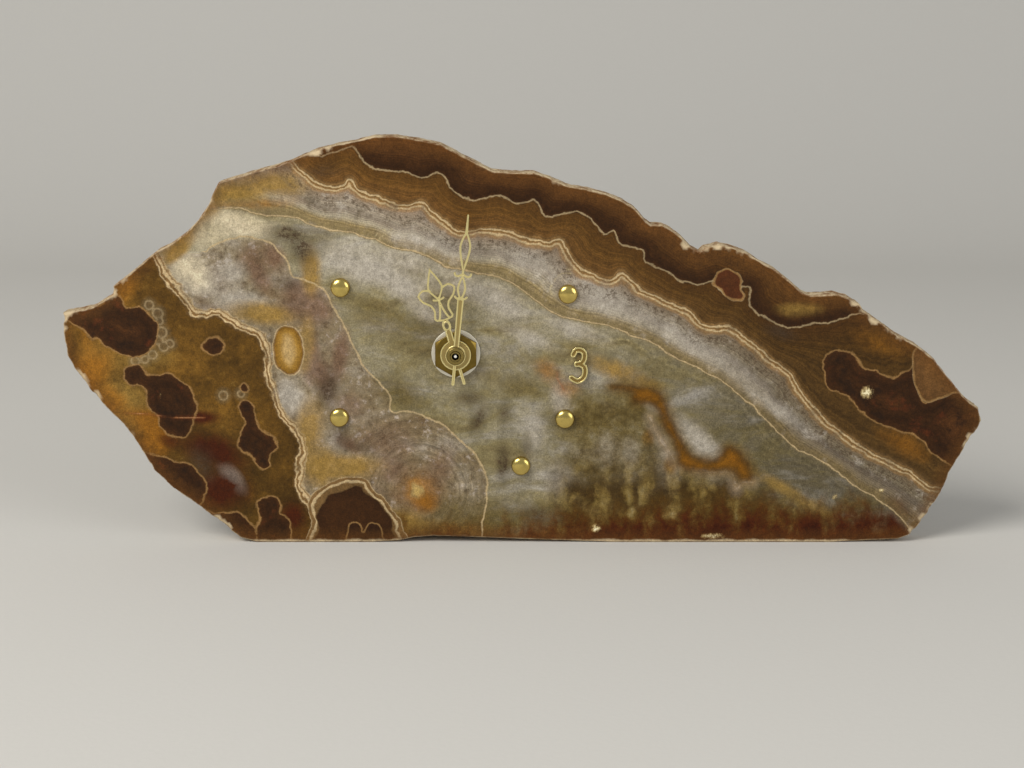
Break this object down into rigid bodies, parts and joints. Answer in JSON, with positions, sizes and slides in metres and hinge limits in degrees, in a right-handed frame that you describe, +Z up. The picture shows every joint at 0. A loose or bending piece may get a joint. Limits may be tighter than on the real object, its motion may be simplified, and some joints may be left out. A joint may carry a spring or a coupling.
{
  "type": "agate slab clock",
  "caption": "Free-standing desk clock: a polished agate slab with openwork brass hands, glued brass studs and a numeral, a quartz movement and a stone foot behind it.",
  "frame": {"origin": "middle of the clock's box, on the plane it stands on; the dial axis runs along Y, 21.25 mm to the left of it and 61 mm up", "axes": "+X to the right along the slab as the dial is read, +Y from the dial to the movement behind, +Z up"},
  "size_m": [0.2854, 0.0472, 0.128],
  "materials": {
    "agate": "polished banded agate, natural rind at the edge",
    "bright_brass": "stamped and polished",
    "turned_brass": "turned",
    "nickel_plate": "nickel plated steel",
    "motor_steel": "stamped electrical steel",
    "black_plastic": "moulded",
    "white_plastic": "moulded acetal",
    "gasket_rubber": "moulded rubber",
    "coil_wire": "enamelled copper wire, wound",
    "circuit_laminate": "green solder resist",
    "cell_jacket": "plain steel can with a sleeve"
  },
  "bodies": {
    "clock_body": {"agate_slab": "agate", "back_foot": "agate", "hour_stud_10": "bright_brass", "hour_stud_8": "bright_brass", "hour_stud_5": "bright_brass", "hour_stud_4": "bright_brass", "hour_stud_2": "bright_brass", "numeral_3": "bright_brass", "dial_washer": "nickel_plate", "hex_nut": "bright_brass", "centre_bushing": "turned_brass", "rubber_gasket": "gasket_rubber", "stator_plate": "motor_steel", "coil": "coil_wire", "circuit_board": "circuit_laminate", "quartz_crystal": "nickel_plate", "case_tray": "black_plastic", "middle_plate": "black_plastic", "rear_cover": "black_plastic", "contact_positive": "nickel_plate", "contact_negative": "nickel_plate"},
    "hour": {"hour_hand": "bright_brass", "hour_wheel": "turned_brass"},
    "minute": {"minute_hand": "bright_brass", "minute_nut": "bright_brass", "minute_arbor": "turned_brass"},
    "motion": {"motion_wheel": "white_plastic"},
    "setting": {"setting_pinion": "black_plastic", "setting_knob": "black_plastic"},
    "second": {"second_wheel": "white_plastic"},
    "third": {"third_wheel": "white_plastic"},
    "centre": {"centre_wheel": "white_plastic"},
    "intermediate": {"intermediate_wheel": "white_plastic"},
    "rotor": {"rotor_pinion": "white_plastic", "rotor_magnet": "motor_steel"},
    "battery": {"battery_cell": "cell_jacket"}
  },
  "joints": [
    {"name": "minute_turn", "type": "hinge", "parent": "clock_body", "child": "minute", "pos_m": [-0.02125, -0.02, 0.061], "axis": [0, 1, 0], "continuous": true},
    {"name": "hour_turn", "type": "hinge", "parent": "clock_body", "child": "hour", "pos_m": [-0.02125, -0.02, 0.061], "axis": [0, 1, 0], "continuous": true},
    {"name": "motion_turn", "type": "hinge", "parent": "clock_body", "child": "motion", "pos_m": [-0.01337, -0.005, 0.05961], "axis": [0, 1, 0], "continuous": true},
    {"name": "setting_turn", "type": "hinge", "parent": "clock_body", "child": "setting", "pos_m": [-0.00724, 0.005, 0.06475], "axis": [0, 1, 0], "continuous": true},
    {"name": "second_turn", "type": "hinge", "parent": "clock_body", "child": "second", "pos_m": [-0.02125, 0.001, 0.061], "axis": [0, 1, 0], "continuous": true},
    {"name": "third_turn", "type": "hinge", "parent": "clock_body", "child": "third", "pos_m": [-0.02904, 0, 0.0655], "axis": [0, 1, 0], "continuous": true},
    {"name": "centre_turn", "type": "hinge", "parent": "clock_body", "child": "centre", "pos_m": [-0.02125, -0.003, 0.061], "axis": [0, 1, 0], "continuous": true},
    {"name": "intermediate_turn", "type": "hinge", "parent": "clock_body", "child": "intermediate", "pos_m": [-0.02, 0.002, 0.06809], "axis": [0, 1, 0], "continuous": true},
    {"name": "rotor_turn", "type": "hinge", "parent": "clock_body", "child": "rotor", "pos_m": [-0.01819, 0.002, 0.07485], "axis": [0, 1, 0], "continuous": true},
    {"name": "battery_slide", "type": "slide", "parent": "clock_body", "child": "battery", "axis": [0, 1, 0], "range_m": [0, 0.03]}
  ],
  "couplings": [
    {"joint": "hour_turn", "follows": "minute_turn", "ratio": 0.083333},
    {"joint": "motion_turn", "follows": "minute_turn", "ratio": -0.33333},
    {"joint": "setting_turn", "follows": "minute_turn", "ratio": 1},
    {"joint": "third_turn", "follows": "second_turn", "ratio": -0.13333},
    {"joint": "centre_turn", "follows": "second_turn", "ratio": 0.016667},
    {"joint": "intermediate_turn", "follows": "second_turn", "ratio": -5},
    {"joint": "rotor_turn", "follows": "second_turn", "ratio": 30}
  ]
}
